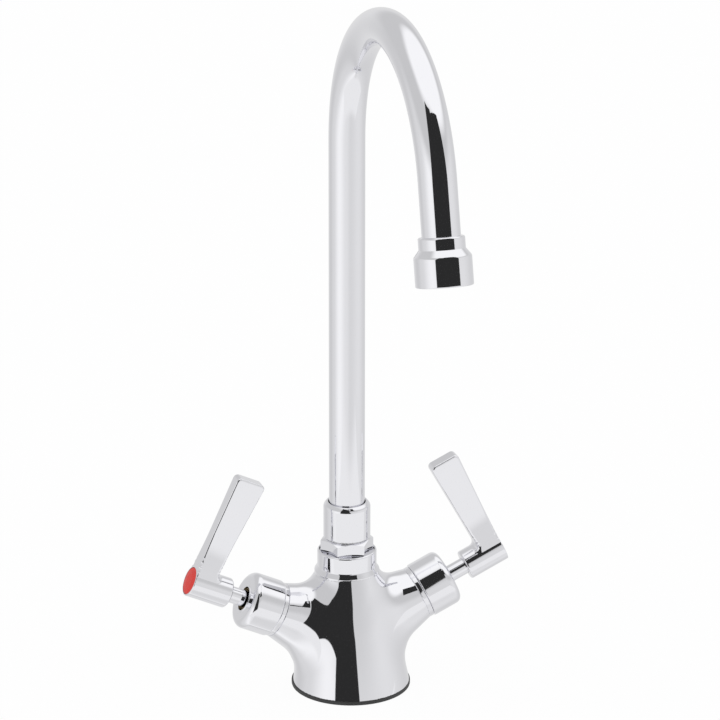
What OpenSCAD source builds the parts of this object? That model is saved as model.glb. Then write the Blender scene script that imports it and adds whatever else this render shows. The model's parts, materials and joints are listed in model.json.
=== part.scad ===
// Two-lever gooseneck tap: a single-hole body with two raised valve arms,
// a swivelling gooseneck spout and a screwed-on aerator.
// Millimetres. +Z is up, +X points to the cold lever and -Y to the user.
// The origin is the centre of the base, on the deck.

/* [Base] */
// Width of the rubber gasket's edge that shows round the foot
gasket_overhang = 0.63; // [0.3:0.01:2]
// Thickness of the gasket
gasket_t = 2; // [1:0.1:3]
// Width of the gasket's ring
gasket_w = 6.6; // [5:0.1:8]

/* [Body] */
// Diameter of the bell-shaped body above its foot
body_d = 50; // [48:0.1:50.4]
// Height of the shoulder under the neck, along the body's lean
body_h = 52; // [50:0.5:56]
// Diameter of the shoulder under the neck
shoulder_d = 29.2; // [27:0.1:34]
// Growth of the radius at the foot
foot_flare = 1.6; // [0.5:0.1:1.8]
// Height of the flared foot
foot_h = 9; // [6:0.5:12]
// Distance of the spout axis behind the centre of the base
spout_set_back = 6; // [0:0.5:8]
// Diameter of the hollow in the underside
underside_d = 38; // [36:0.5:39.5]
// Depth of the hollow in the underside
underside_h = 4; // [2:0.5:5]

/* [Neck and spout nut] */
// Height of the neck above the shoulder
neck_h = 10.6; // [9.5:0.1:14]
// Wall of the neck around the nut
neck_wall = 0.85; // [0.6:0.05:2]
// Fillet between the neck and the shoulder
neck_fillet = 2; // [1:0.1:2.5]
// Depth of the recess that holds the nut
neck_recess_h = 3; // [3:0.1:6]
// Nut size across its flats
nut_af = 20.8; // [20.6:0.1:24]
// Height of the nut's hexagon
nut_h = 8.7; // [8:0.1:14]
// Length of the nut's threaded barrel
nut_barrel_h = 6; // [4:0.1:6.5]
// Wall of the nut's threaded barrel
nut_barrel_wall = 1.7; // [1.2:0.1:1.8]
// Turn of the hexagon from the left-to-right line, in degrees
nut_turn = -7; // [-30:1:30]

/* [Gooseneck] */
// Outside diameter of the tube
tube_d = 15.9; // [14:0.1:16.6]
// Wall of the tube
tube_wall = 1.2; // [0.8:0.1:1.6]
// Radius of the bend at the tube's middle
bend_r = 62.9; // [50:0.1:80]
// Height of the bend's centre above the deck
bend_centre_h = 252.2; // [180:0.1:300]
// Angle of the bend, in degrees
bend_angle = 165.8; // [150:0.1:180]
// Length of the straight drop after the bend
drop_len = 21.7; // [15:0.1:40]

/* [Spout sleeve] */
// Diameter of the sleeve
sleeve_d = 20.9; // [19.8:0.1:23]
// Height of the sleeve
sleeve_h = 16.5; // [14:0.1:22]
// Radius of the sleeve's rounded top edge
sleeve_round = 2.3; // [1:0.1:2.4]
// Depth of the tube's socket in the sleeve
tube_socket_h = 11.5; // [8:0.1:12.5]
// Diameter of the waterway through the spigot
waterway_d = 11.1; // [10:0.1:11.4]
// Wall of the spigot below the sleeve
spigot_wall = 2.9; // [2.6:0.1:3]
// Thickness of the thrust washer on the nut
thrust_washer_t = 0.5; // [0.3:0.1:1]
// Thickness of the snap ring under the nut
snap_ring_t = 1.1; // [0.8:0.1:1.4]
// Thickness of the spout's O-ring section
spout_o_ring_t = 1.5; // [1.2:0.1:1.8]

/* [Arms] */
// Tilt of the valve arms above the level, in degrees
stem_tilt = 25; // [20:0.5:30]
// Height where the arms' axes cross the spout axis
stem_axis_h = 21.5; // [20:0.1:23]
// Distance of the arm's end face along its axis
arm_len = 36; // [34:0.1:42]
// Diameter of the arm at its end face
arm_d = 24.6; // [23:0.1:25.4]
// Diameter of the arm where it flares into the body
arm_flare_d = 33.5; // [30:0.5:35]
// Distance of the flare along the arm's axis
arm_flare_at = 25; // [22:0.5:28]
// Diameter of the arm inside the body
arm_root_d = 36; // [35:0.5:37]
// Distance of the arm's root along its axis
arm_root_at = 14; // [12:0.5:16]
// Length of the threaded nose past the arm's end face
nose_len = 10; // [8:0.1:14]
// Wall of the threaded nose
nose_wall = 1.8; // [1.4:0.1:1.9]

/* [Cartridge] */
// Diameter of the cartridge's barrel
cartridge_d = 16.8; // [16.2:0.1:16.9]
// Wall of the barrel around the discs
cartridge_wall = 1; // [0.8:0.1:1.3]
// Depth of the cartridge's seat behind the arm's end face
cartridge_depth = 18.5; // [17.5:0.1:19]
// Thickness of each ceramic disc
disc_t = 3; // [2.5:0.1:3.5]
// Diameter of the water holes in the discs
disc_port_d = 3.8; // [3:0.1:4]
// Thickness of the seal under the discs
seat_seal_t = 1.4; // [1:0.1:2]
// Thickness of the cartridge's flange
flange_t = 2.4; // [1.5:0.1:3]

/* [Bonnet] */
// Thickness of the ring between arm and bonnet
bonnet_ring_t = 2.4; // [1.5:0.1:4]
// Wall of the bonnet around the threaded nose
bonnet_wall = 2.4; // [1.8:0.1:3]
// Radius of the bonnet's rounded outer edge
bonnet_round = 3.8; // [2:0.1:4.5]
// Thickness of the bonnet's end
bonnet_end_t = 4.7; // [4:0.1:6]
// Diameter of the hole for the stem
bonnet_hole_d = 10.8; // [10.2:0.1:14]

/* [Stem] */
// Diameter of the stem
stem_d = 7.5; // [7:0.1:8]
// Width across the stem's drive flats
stem_flats = 5.6; // [5.2:0.1:6.2]
// Thickness of the stem's head
stem_head_t = 2.6; // [2:0.1:3]
// Thickness of the stem's O-ring section
stem_o_ring_t = 1.2; // [0.9:0.1:1.3]

/* [Lever] */
// Gap between the bonnet and the lever's hub
hub_gap = 8.1; // [5:0.1:12]
// Diameter of the hub
hub_d = 13.6; // [13.4:0.1:16]
// Length of the hub
hub_len = 18.9; // [18:0.1:24]
// Depth of the stem's socket in the hub
drive_len = 9.3; // [8:0.1:10]
// Distance of the blade's tip from the stem axis
blade_h = 52.2; // [40:0.1:80]
// Width of the blade at the hub
blade_root_w = 10.2; // [8:0.1:13]
// Width of the blade at its tip
blade_tip_w = 13.8; // [9:0.1:16]
// Thickness of the blade near the hub
blade_root_t = 7; // [5:0.1:8.5]
// Thickness of the blade at its tip
blade_tip_t = 5.2; // [4:0.1:6.5]
// Radius of the blade's corners
blade_corner = 2.2; // [1:0.1:3.5]
// Diameter of the coloured button in the hub's end
button_d = 12.4; // [9.5:0.1:12.6]
// Thickness of the button at its edge
button_t = 2.4; // [1.8:0.1:2.8]
// Diameter of the screw that holds the lever
screw_d = 4; // [3:0.1:4.2]

/* [Aerator] */
// Diameter of the collar on the tube's end
collar_d = 19.1; // [18.6:0.1:21]
// Length of the collar
collar_len = 5.1; // [3:0.1:8]
// Wall of the threaded nipple under the collar
nipple_wall = 1; // [0.8:0.1:1.2]
// Length of the threaded nipple
nipple_len = 6.5; // [4:0.1:9]
// Wall of the aerator's housing
housing_wall = 2.7; // [2:0.1:4]
// Length of the housing's sloped shoulder
housing_shoulder = 2.6; // [1.5:0.1:4]
// Height of the lip that holds the insert
housing_lip_h = 1.4; // [1:0.1:2]
// Length of the plastic insert
insert_len = 5.2; // [4:0.1:8]
// Thickness of the aerator's washer
aerator_washer_t = 1.5; // [1:0.1:2.5]
// Thickness of the aerator's screen
screen_t = 0.4; // [0.3:0.1:0.8]

/* [Water inlets and mounting] */
// Diameter of the tapped inlet sockets
inlet_d = 9; // [8:0.1:9.4]
// Depth of the tapped inlet sockets
inlet_depth = 10; // [8:0.5:11]
// Distance between the two inlets
inlet_spacing = 19; // [17:0.1:21]
// Diameter of the water passages
passage_d = 5.2; // [4:0.1:5.4]
// Diameter of the tapped hole for the mounting stud
stud_d = 6.8; // [5:0.1:8.5]
// Depth of the tapped hole for the mounting stud
stud_depth = 14; // [10:0.5:18]
// Distance of the mounting stud in front of the base's centre
stud_forward = 11; // [9:0.5:12.5]

/* [Clearances] */
// Radial gap of turning fits
running_gap = 0.05; // [0.03:0.01:0.08]
// Radial gap of screwed and pushed-in fits
thread_gap = 0.1; // [0.05:0.01:0.15]
// Gap between the nut's corners and its recess
nut_gap = 0.35; // [0.2:0.05:1]

/* [Hidden] */
$fn = 96;
// overlap of cutting tools past the faces that they cut
cut = 1;
// length of tools that cut right out of a piece
far = 60;

chrome = [0.82, 0.84, 0.87];
brass = [0.80, 0.66, 0.36];
steel = [0.66, 0.68, 0.70];
black_rubber = [0.07, 0.07, 0.07];
white_plastic = [0.92, 0.92, 0.90];
ceramic = [0.95, 0.94, 0.91];
hot_red = [0.85, 0.18, 0.16];
cold_blue = [0.10, 0.28, 0.75];

// small edge breaks
edge = 0.4;
bell_steps = 20;
arc_steps = 8;

// body
gasket_r = bell_radius(gasket_t) + gasket_overhang;
underside_z = gasket_t + underside_h;
body_lean = atan(spout_set_back / body_h);
shoulder_z = body_h * cos(body_lean);
bell_rise = (body_h - foot_h) / sqrt(1 - pow(shoulder_d / body_d, 2));
bell_low = -5;
neck_root_h = 6;

// neck, nut and spigot, from the nut downwards
nut_r = nut_af / 2 / cos(30);
recess_r = nut_r + nut_gap;
neck_r = recess_r + neck_wall;
neck_top = shoulder_z + neck_h;
nut_z = neck_top - neck_recess_h;
nut_top = nut_z + nut_h;
waterway_r = waterway_d / 2;
spigot_r = waterway_r + spigot_wall;
spigot_bore_r = spigot_r + running_gap;
barrel_r = spigot_bore_r + nut_barrel_wall;
barrel_z = nut_z - nut_barrel_h;
snap_ring_play = 0.2;
snap_ring_z = barrel_z - snap_ring_play - snap_ring_t;
snap_groove_depth = 1.1;
snap_ring_reach = 1;
thread_relief = 0.6;
thread_floor = snap_ring_z - thread_relief;
o_groove_play = 0.2;
spout_o_groove_w = spout_o_ring_t + o_groove_play;
spout_o_land = 0.9;
spout_o_groove_r = spigot_bore_r - spout_o_ring_t - running_gap;
spout_o_z = [
    thread_floor - spout_o_land - spout_o_groove_w / 2,
    thread_floor - 2 * spout_o_land - 1.5 * spout_o_groove_w
];
spigot_z = thread_floor - 3 * spout_o_land - 2 * spout_o_groove_w;

// sleeve and tube
thrust_washer_inset = 1;
sleeve_z = nut_top + thrust_washer_t;
sleeve_top = sleeve_z + sleeve_h;
tube_r = tube_d / 2;
tube_z = sleeve_top - tube_socket_h;
// the straight drop starts inside the bend, drawn a hair slimmer
drop_lap = 0.5;
drop_step = 0.05;

// stations along an arm's axis, from the spout axis outwards
arm_r = arm_d / 2;
seat_s = arm_len - cartridge_depth;
fixed_disc_s = seat_s + seat_seal_t;
moving_disc_s = fixed_disc_s + disc_t;
stem_head_s = moving_disc_s + disc_t;
stem_head_play = 0.2;
cavity_end_s = stem_head_s + stem_head_t + stem_head_play;
nose_end_s = arm_len + nose_len;
flange_end_s = nose_end_s + flange_t;
bonnet_s = arm_len + bonnet_ring_t;
bonnet_end_s = flange_end_s + bonnet_end_t;
hub_s = bonnet_end_s + hub_gap;

// cartridge radii
cartridge_r = cartridge_d / 2;
cartridge_bore_r = cartridge_r + thread_gap;
cavity_r = cartridge_r - cartridge_wall;
disc_r = cavity_r - running_gap;
nose_r = cartridge_bore_r + nose_wall;
bonnet_bore_r = nose_r + thread_gap;
bonnet_r = bonnet_bore_r + bonnet_wall;
gallery_depth = 1.2;
seat_seal_margin = 1;
disc_port_at = 4.2;
tongue_w = 2.5;
tongue_len = 8.8;
tongue_h = 1.3;
slot_play = 0.1;
stem_r = stem_d / 2;
stem_bore_r = stem_r + running_gap;
stem_o_groove_r = stem_bore_r - stem_o_ring_t - running_gap;
stem_o_s = (cavity_end_s + nose_end_s) / 2;

// water ways in the body
inlet_x = inlet_spacing / 2;
inlet_s = inlet_x / cos(stem_tilt);
inlet_top = stem_axis_h + inlet_x * tan(stem_tilt);
passage_r = passage_d / 2;
gallery_s = stem_head_s + stem_head_t / 2;
gallery_bite = 1;
gallery_lift = cartridge_r - gallery_bite;
outlet_x = gallery_s * cos(stem_tilt) - gallery_lift * sin(stem_tilt);
outlet_z = stem_axis_h + gallery_s * sin(stem_tilt) + gallery_lift * cos(stem_tilt);
chamber_sump = 1.5;
chamber_z = outlet_z - passage_r - chamber_sump;

// lever
hub_r = hub_d / 2;
drive_lead = 1.5;
stem_end_play = 0.2;
screw_head_r = 0.875 * screw_d;
screw_head_h = 0.65 * screw_d;
screw_web = 3.2;
screw_seat = drive_len + screw_web;
screw_len = 9;
screw_tip_play = 1;
blade_fillet = 2.5;
blade_flare_end = hub_r + 10;
blade_tip_edge = 0.8;
button_crown = 0.35;

// aerator, from the bend's end along the flow
collar_r = collar_d / 2;
nipple_r = tube_r + thread_gap + nipple_wall;
housing_bore_r = nipple_r + thread_gap;
housing_r = housing_bore_r + housing_wall;
housing_u = drop_len + collar_len;
washer_u = housing_u + nipple_len;
screen_u = washer_u + aerator_washer_t;
insert_u = screen_u + screen_t;
lip_u = insert_u + insert_len;
housing_len = lip_u + housing_lip_h - housing_u;
lip_reach = 1.1;
insert_r = nipple_r;
insert_hole_r = 1.25;
insert_hole_pitch = 3.3;
screen_hole_r = 0.8;
screen_hole_pitch = 2.3;
perforated_rim = 1;

// Radius of the body at a distance along its leaning axis: a flared foot, then an ellipse
function bell_radius(t) =
    t < foot_h
        ? body_d / 2 + foot_flare * pow((foot_h - t) / foot_h, 2)
        : body_d / 2 * sqrt(1 - pow((t - foot_h) / bell_rise, 2));

// Points on an arc from one angle to another
function arc(centre, r, from, to) =
    [for (i = [0:arc_steps]) centre + r * [cos(from + (to - from) * i / arc_steps),
                                           sin(from + (to - from) * i / arc_steps)]];

// Centres of a round honeycomb of holes
function honeycomb(pitch, reach) =
    let (n = ceil(reach / pitch) + 1)
    [for (row = [-n:n], col = [-n:n])
        let (p = pitch * [col + 0.5 * (row % 2), row * sin(60)])
        if (norm(p) < reach) p];

module ring(r_out, r_in, h) {
    difference() {
        cylinder(h = h, r = r_out);
        translate([0, 0, -cut]) cylinder(h = h + 2 * cut, r = r_in);
    }
}

// Ring with its outer edges broken
module edged_ring(r_out, r_in, h, b) {
    rotate_extrude()
        polygon([[r_in, 0], [r_out - b, 0], [r_out, b], [r_out, h - b], [r_out - b, h], [r_in, h]]);
}

module o_ring(r_in, section) {
    rotate_extrude() translate([r_in + section / 2, 0]) circle(d = section, $fn = 32);
}

// The spout's upright axis
module on_spout_axis(z) {
    translate([0, spout_set_back, z]) children();
}

// The cold arm's axis: +Z outwards along the stem, +X up along the lever's blade, +Y to the user
module on_stem_axis(s) {
    translate([0, spout_set_back, stem_axis_h])
        rotate([0, 90 - stem_tilt, 0])
            rotate([0, 0, 180])
                translate([0, 0, s])
                    children();
}

module hot() {
    mirror([1, 0, 0]) children();
}

module both_sides() {
    children();
    hot() children();
}

// The end of the bend: +Z along the flow
module at_outlet(u) {
    translate([0, spout_set_back - bend_r, bend_centre_h])
        rotate([bend_angle, 0, 0])
            translate([0, bend_r, u])
                children();
}

// Body

module bell() {
    rotate([-body_lean, 0, 0])
        rotate_extrude()
            polygon(concat(
                [[0, bell_low]],
                [for (i = [0:bell_steps])
                    let (t = bell_low + (body_h - bell_low) * i / bell_steps) [bell_radius(t), t]],
                [[0, body_h]]
            ));
}

module neck() {
    on_spout_axis(0)
        rotate_extrude()
            polygon(concat(
                [[0, shoulder_z - neck_root_h], [neck_r + neck_fillet, shoulder_z - neck_root_h]],
                arc([neck_r + neck_fillet, shoulder_z + neck_fillet], neck_fillet, 270, 180),
                [[neck_r, neck_top - edge], [neck_r - edge, neck_top], [0, neck_top]]
            ));
}

module arm() {
    on_stem_axis(0)
        rotate_extrude()
            polygon([
                [0, arm_root_at], [arm_root_d / 2, arm_root_at], [arm_flare_d / 2, arm_flare_at],
                [arm_r, arm_len], [0, arm_len]
            ]);
    on_stem_axis(arm_len - cut)
        cylinder(h = nose_len + cut, r = nose_r);
}

module arm_bores() {
    on_stem_axis(seat_s) cylinder(h = far, r = cartridge_bore_r);
    on_stem_axis(stem_head_s) cylinder(h = stem_head_t, r = cartridge_bore_r + gallery_depth);
    on_stem_axis(inlet_s) cylinder(h = seat_s - inlet_s + cut, r = passage_r);
    translate([inlet_x, spout_set_back, 0]) {
        cylinder(h = inlet_top, r = passage_r);
        cylinder(h = underside_z + inlet_depth, r = inlet_d / 2);
    }
}

module neck_bores() {
    on_spout_axis(nut_z) cylinder(h = far, r = recess_r);
    on_spout_axis(thread_floor) cylinder(h = far, r = barrel_r + thread_gap);
    on_spout_axis(chamber_z) cylinder(h = far, r = spigot_bore_r);
    on_spout_axis(outlet_z) rotate([0, 90, 0]) cylinder(h = 2 * outlet_x, r = passage_r, center = true);
}

module valve_body() {
    color(chrome)
        difference() {
            union() {
                bell();
                neck();
                both_sides() arm();
            }
            translate([0, 0, gasket_t - far]) cylinder(h = far, r = far);
            cylinder(h = underside_z, r = underside_d / 2);
            translate([0, -stud_forward, 0]) cylinder(h = underside_z + stud_depth, r = stud_d / 2);
            both_sides() arm_bores();
            neck_bores();
        }
}

module base_gasket() {
    color(black_rubber)
        edged_ring(gasket_r, gasket_r - gasket_w, gasket_t, edge);
}

// Spout nut: a chamfered hexagon over a threaded barrel
module spout_nut() {
    chamfer_h = (nut_r - nut_af / 2) * tan(30) + edge;
    chamfer_w = chamfer_h / tan(30);
    color(chrome)
        on_spout_axis(0)
            difference() {
                union() {
                    intersection() {
                        translate([0, 0, nut_z])
                            rotate([0, 0, nut_turn])
                                cylinder(h = nut_h, r = nut_r, $fn = 6);
                        rotate_extrude()
                            polygon([
                                [0, nut_z], [nut_r - chamfer_w, nut_z], [nut_r, nut_z + chamfer_h],
                                [nut_r, nut_top - chamfer_h], [nut_r - chamfer_w, nut_top], [0, nut_top]
                            ]);
                    }
                    translate([0, 0, barrel_z]) cylinder(h = nut_barrel_h + cut, r = barrel_r);
                }
                translate([0, 0, barrel_z - cut]) cylinder(h = far, r = spigot_bore_r);
            }
}

// Spout

// The tube's course as a solid rod, run past both ends by a length
module tube_course(r, past) {
    on_spout_axis(bend_centre_h) rotate([180, 0, 0]) cylinder(h = bend_centre_h - tube_z + past, r = r);
    translate([0, spout_set_back - bend_r, bend_centre_h])
        rotate([90, 0, 90])
            rotate_extrude(angle = bend_angle)
                translate([bend_r, 0])
                    circle(r = r);
    at_outlet(-drop_lap) cylinder(h = drop_lap + housing_u + past, r = r - drop_step);
}

module gooseneck_tube() {
    color(chrome)
        difference() {
            tube_course(tube_r, 0);
            tube_course(tube_r - tube_wall, cut);
        }
}

module spout_sleeve() {
    sleeve_r = sleeve_d / 2;
    color(chrome)
        on_spout_axis(0)
            difference() {
                rotate_extrude()
                    polygon(concat(
                        [[waterway_r, spigot_z], [spigot_r - edge, spigot_z], [spigot_r, spigot_z + edge],
                         [spigot_r, sleeve_z], [sleeve_r - edge, sleeve_z], [sleeve_r, sleeve_z + edge]],
                        arc([sleeve_r - sleeve_round, sleeve_top - sleeve_round], sleeve_round, 0, 90),
                        [[waterway_r, sleeve_top]]
                    ));
                translate([0, 0, tube_z]) cylinder(h = far, r = tube_r + thread_gap);
                for (z = spout_o_z)
                    translate([0, 0, z - spout_o_groove_w / 2])
                        ring(spigot_r + cut, spout_o_groove_r, spout_o_groove_w);
                translate([0, 0, snap_ring_z])
                    ring(spigot_r + cut, spigot_r - snap_groove_depth, snap_ring_t);
            }
}

module spout_o_rings() {
    color(black_rubber)
        for (z = spout_o_z)
            on_spout_axis(z) o_ring(spout_o_groove_r, spout_o_ring_t);
}

module thrust_washer() {
    color(white_plastic)
        on_spout_axis(nut_top) ring(nut_af / 2 - thrust_washer_inset, spigot_r + thread_gap, thrust_washer_t);
}

module snap_ring() {
    gap = 3;
    color(steel)
        on_spout_axis(snap_ring_z)
            difference() {
                ring(spigot_r + snap_ring_reach, spigot_r - snap_groove_depth + thread_gap, snap_ring_t);
                translate([0, -gap / 2, -cut]) cube([far, gap, snap_ring_t + 2 * cut]);
            }
}

module outlet_collar() {
    bore_r = tube_r + thread_gap;
    color(chrome)
        at_outlet(drop_len)
            rotate_extrude()
                polygon([
                    [bore_r, 0], [collar_r - edge, 0], [collar_r, edge], [collar_r, collar_len],
                    [nipple_r, collar_len], [nipple_r, collar_len + nipple_len],
                    [bore_r, collar_len + nipple_len]
                ]);
}

module aerator_housing() {
    color(chrome)
        at_outlet(housing_u)
            rotate_extrude()
                polygon(concat(
                    [[housing_bore_r, 0], [collar_r, 0]],
                    [for (p = arc([0, 0], 1, 90, 0))
                        [collar_r + (housing_r - collar_r) * p[0], housing_shoulder * (1 - p[1])]],
                    [[housing_r, housing_len - edge], [housing_r - edge, housing_len],
                     [housing_bore_r - lip_reach, housing_len],
                     [housing_bore_r - lip_reach, housing_len - housing_lip_h],
                     [housing_bore_r, housing_len - housing_lip_h]]
                ));
}

module perforated_disc(r, t, pitch, hole_r) {
    difference() {
        cylinder(h = t, r = r);
        for (p = honeycomb(pitch, r - hole_r - perforated_rim))
            translate([p[0], p[1], -cut]) cylinder(h = t + 2 * cut, r = hole_r, $fn = 24);
    }
}

module aerator_insert() {
    color(white_plastic)
        at_outlet(insert_u) perforated_disc(insert_r, insert_len, insert_hole_pitch, insert_hole_r);
}

module aerator_screen() {
    color(steel)
        at_outlet(screen_u) perforated_disc(insert_r, screen_t, screen_hole_pitch, screen_hole_r);
}

module aerator_washer() {
    color(black_rubber)
        at_outlet(washer_u) ring(insert_r, tube_r - tube_wall, aerator_washer_t);
}

// Valve cartridge, on the cold side

module cartridge() {
    window_w = 7;
    color(brass)
        difference() {
            union() {
                on_stem_axis(seat_s) cylinder(h = nose_end_s - seat_s, r = cartridge_r);
                on_stem_axis(nose_end_s) cylinder(h = flange_t, r = nose_r);
            }
            on_stem_axis(seat_s - cut) cylinder(h = cavity_end_s - seat_s + cut, r = cavity_r);
            on_stem_axis(seat_s) cylinder(h = far, r = stem_bore_r);
            on_stem_axis(stem_head_s + stem_head_t / 2) cube([far, window_w, stem_head_t], center = true);
        }
}

module seat_seal() {
    color(black_rubber)
        on_stem_axis(seat_s) ring(cavity_r - thread_gap, passage_r + seat_seal_margin, seat_seal_t);
}

module disc_ports() {
    for (side = [-1, 1])
        translate([side * disc_port_at, 0, -cut]) cylinder(h = disc_t + 2 * cut, r = disc_port_d / 2);
}

module fixed_disc() {
    color(ceramic)
        on_stem_axis(fixed_disc_s)
            difference() {
                cylinder(h = disc_t, r = disc_r);
                disc_ports();
            }
}

// Shut at rest: its ports lie a quarter turn from those of the fixed disc
module moving_disc() {
    color(ceramic)
        on_stem_axis(moving_disc_s)
            difference() {
                cylinder(h = disc_t, r = disc_r);
                rotate([0, 0, 90]) disc_ports();
                translate([0, 0, disc_t])
                    cube([tongue_len, tongue_w, 2 * tongue_h] + slot_play * [1, 1, 2], center = true);
            }
}

module stem() {
    head_w = 8;
    stem_end_s = hub_s + drive_len - stem_end_play;
    screw_hole_s = hub_s + screw_seat - screw_len - screw_tip_play;
    color(chrome)
        difference() {
            union() {
                intersection() {
                    on_stem_axis(stem_head_s) cylinder(h = stem_head_t, r = disc_r);
                    on_stem_axis(stem_head_s) cube([far, head_w, far], center = true);
                }
                on_stem_axis(stem_head_s) cube([tongue_len, tongue_w, 2 * tongue_h], center = true);
                on_stem_axis(stem_head_s) cylinder(h = hub_s + drive_lead - stem_head_s, r = stem_r);
                intersection() {
                    on_stem_axis(hub_s) cylinder(h = drive_len - stem_end_play, r = stem_r);
                    on_stem_axis(hub_s) cube([stem_flats, far, far], center = true);
                }
            }
            on_stem_axis(stem_o_s - (stem_o_ring_t + o_groove_play) / 2)
                ring(stem_r + cut, stem_o_groove_r, stem_o_ring_t + o_groove_play);
            on_stem_axis(screw_hole_s)
                cylinder(h = stem_end_s - screw_hole_s + cut, r = screw_d / 2 + running_gap);
        }
}

module stem_o_ring() {
    color(black_rubber)
        on_stem_axis(stem_o_s) o_ring(stem_o_groove_r, stem_o_ring_t);
}

// Bonnet, on the cold side

module bonnet_ring() {
    color(chrome)
        on_stem_axis(arm_len) edged_ring(arm_r, bonnet_bore_r, bonnet_ring_t, edge);
}

module bonnet() {
    hole_r = bonnet_hole_d / 2;
    color(chrome)
        on_stem_axis(0)
            rotate_extrude()
                polygon(concat(
                    [[bonnet_bore_r, bonnet_s], [bonnet_r - edge, bonnet_s], [bonnet_r, bonnet_s + edge]],
                    arc([bonnet_r - bonnet_round, bonnet_end_s - bonnet_round], bonnet_round, 0, 90),
                    [[hole_r + edge, bonnet_end_s], [hole_r, bonnet_end_s - edge],
                     [hole_r, flange_end_s], [bonnet_bore_r, flange_end_s]]
                ));
}

// Lever, on the cold side

// Front outline: X away from the stem, Y outwards along the stem
module blade_front() {
    inner_root = hub_len - blade_root_w;
    inner_tip = hub_len - blade_tip_w;
    polygon(concat(
        [[0, hub_len]],
        arc([blade_h - blade_corner, hub_len - blade_corner], blade_corner, 90, 0),
        arc([blade_h - blade_corner, inner_tip + blade_corner], blade_corner, 0, -90),
        arc([hub_r + blade_fillet, inner_root - blade_fillet], blade_fillet, 90, 180),
        [[0, inner_root - blade_fillet]]
    ));
}

// Edge outline: X away from the stem, Y across the blade's thickness, flared into the hub
module blade_edge() {
    flare_start = 0.6 * hub_r;
    flare_half = 0.8 * hub_r;
    half = concat(
        [for (i = [0:arc_steps])
            let (k = i / arc_steps)
            [flare_start + (blade_flare_end - flare_start) * k,
             blade_root_t / 2 + (flare_half - blade_root_t / 2) * pow(1 - k, 2)]],
        [[blade_h - blade_tip_edge, blade_tip_t / 2], [blade_h, blade_tip_t / 2 - blade_tip_edge]]
    );
    below = [for (i = [len(half) - 1:-1:0]) [half[i][0], -half[i][1]]];
    polygon(concat([[0, flare_half]], half, below, [[0, -flare_half]]));
}

module lever() {
    color(chrome)
        on_stem_axis(hub_s)
            difference() {
                union() {
                    rotate_extrude()
                        polygon([[0, 0], [hub_r - edge, 0], [hub_r, edge], [hub_r, hub_len], [0, hub_len]]);
                    intersection() {
                        rotate([90, 0, 0]) linear_extrude(height = far, center = true) blade_front();
                        linear_extrude(height = hub_len) blade_edge();
                    }
                }
                translate([0, 0, -cut]) cylinder(h = drive_lead + cut, r = stem_r + running_gap);
                intersection() {
                    cylinder(h = drive_len, r = stem_r + running_gap);
                    cube([stem_flats + 2 * running_gap, far, far], center = true);
                }
                translate([0, 0, drive_len - cut]) cylinder(h = far, r = screw_d / 2 + thread_gap);
                translate([0, 0, screw_seat]) cylinder(h = far, r = screw_head_r + thread_gap);
                translate([0, 0, hub_len - button_t]) cylinder(h = far, r = button_d / 2 + running_gap);
            }
}

module lever_screw() {
    color(steel)
        on_stem_axis(hub_s + screw_seat) {
            difference() {
                cylinder(h = screw_head_h, r = screw_head_r);
                translate([0, 0, screw_head_h / 2]) cylinder(h = far, r = 0.4 * screw_d, $fn = 6);
            }
            translate([0, 0, -screw_len]) cylinder(h = screw_len, r = screw_d / 2);
        }
}

module index_button(tint) {
    button_r = button_d / 2;
    crown_r = (button_r * button_r + button_crown * button_crown) / (2 * button_crown);
    crown_angle = asin(button_r / crown_r);
    color(tint)
        on_stem_axis(hub_s + hub_len - button_t)
            rotate_extrude()
                polygon(concat(
                    [[0, 0], [button_r, 0]],
                    arc([0, button_t + button_crown - crown_r], crown_r, 90 - crown_angle, 90)
                ));
}

valve_body();
base_gasket();
spout_nut();
hot() bonnet();  // bonnet_hot
bonnet();  // bonnet_cold
hot() bonnet_ring();  // bonnet_ring_hot
bonnet_ring();  // bonnet_ring_cold
hot() cartridge();  // cartridge_hot
cartridge();  // cartridge_cold
hot() fixed_disc();  // fixed_disc_hot
fixed_disc();  // fixed_disc_cold
hot() seat_seal();  // seat_seal_hot
seat_seal();  // seat_seal_cold
gooseneck_tube();
spout_sleeve();
spout_o_rings();
thrust_washer();
snap_ring();
outlet_collar();
aerator_housing();
aerator_insert();
aerator_washer();
aerator_screen();
hot() lever();  // lever_hot
lever();  // lever_cold
hot() index_button(hot_red);  // index_button_hot
index_button(cold_blue);  // index_button_cold
hot() lever_screw();  // lever_screw_hot
lever_screw();  // lever_screw_cold
hot() stem();  // stem_hot
stem();  // stem_cold
hot() stem_o_ring();  // stem_o_ring_hot
stem_o_ring();  // stem_o_ring_cold
hot() moving_disc();  // moving_disc_hot
moving_disc();  // moving_disc_cold
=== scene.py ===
import json
import math

import bpy
import numpy as np
from mathutils import Matrix, Vector


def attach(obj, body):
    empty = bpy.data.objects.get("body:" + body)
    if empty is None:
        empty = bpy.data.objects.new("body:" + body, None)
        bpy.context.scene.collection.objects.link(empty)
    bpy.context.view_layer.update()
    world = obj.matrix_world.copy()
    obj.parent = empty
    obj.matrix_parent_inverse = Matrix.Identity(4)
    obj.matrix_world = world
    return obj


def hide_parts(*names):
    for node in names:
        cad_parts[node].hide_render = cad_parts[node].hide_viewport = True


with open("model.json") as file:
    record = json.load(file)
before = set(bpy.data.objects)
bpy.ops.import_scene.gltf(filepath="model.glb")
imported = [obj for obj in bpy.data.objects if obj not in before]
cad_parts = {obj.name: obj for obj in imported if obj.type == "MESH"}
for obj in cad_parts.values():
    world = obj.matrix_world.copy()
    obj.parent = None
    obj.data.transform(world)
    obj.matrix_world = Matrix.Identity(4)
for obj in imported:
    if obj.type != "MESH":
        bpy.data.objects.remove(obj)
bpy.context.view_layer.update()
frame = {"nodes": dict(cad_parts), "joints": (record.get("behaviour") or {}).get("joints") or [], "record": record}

mm = 0.001
clearance = 0.1 * mm
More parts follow.
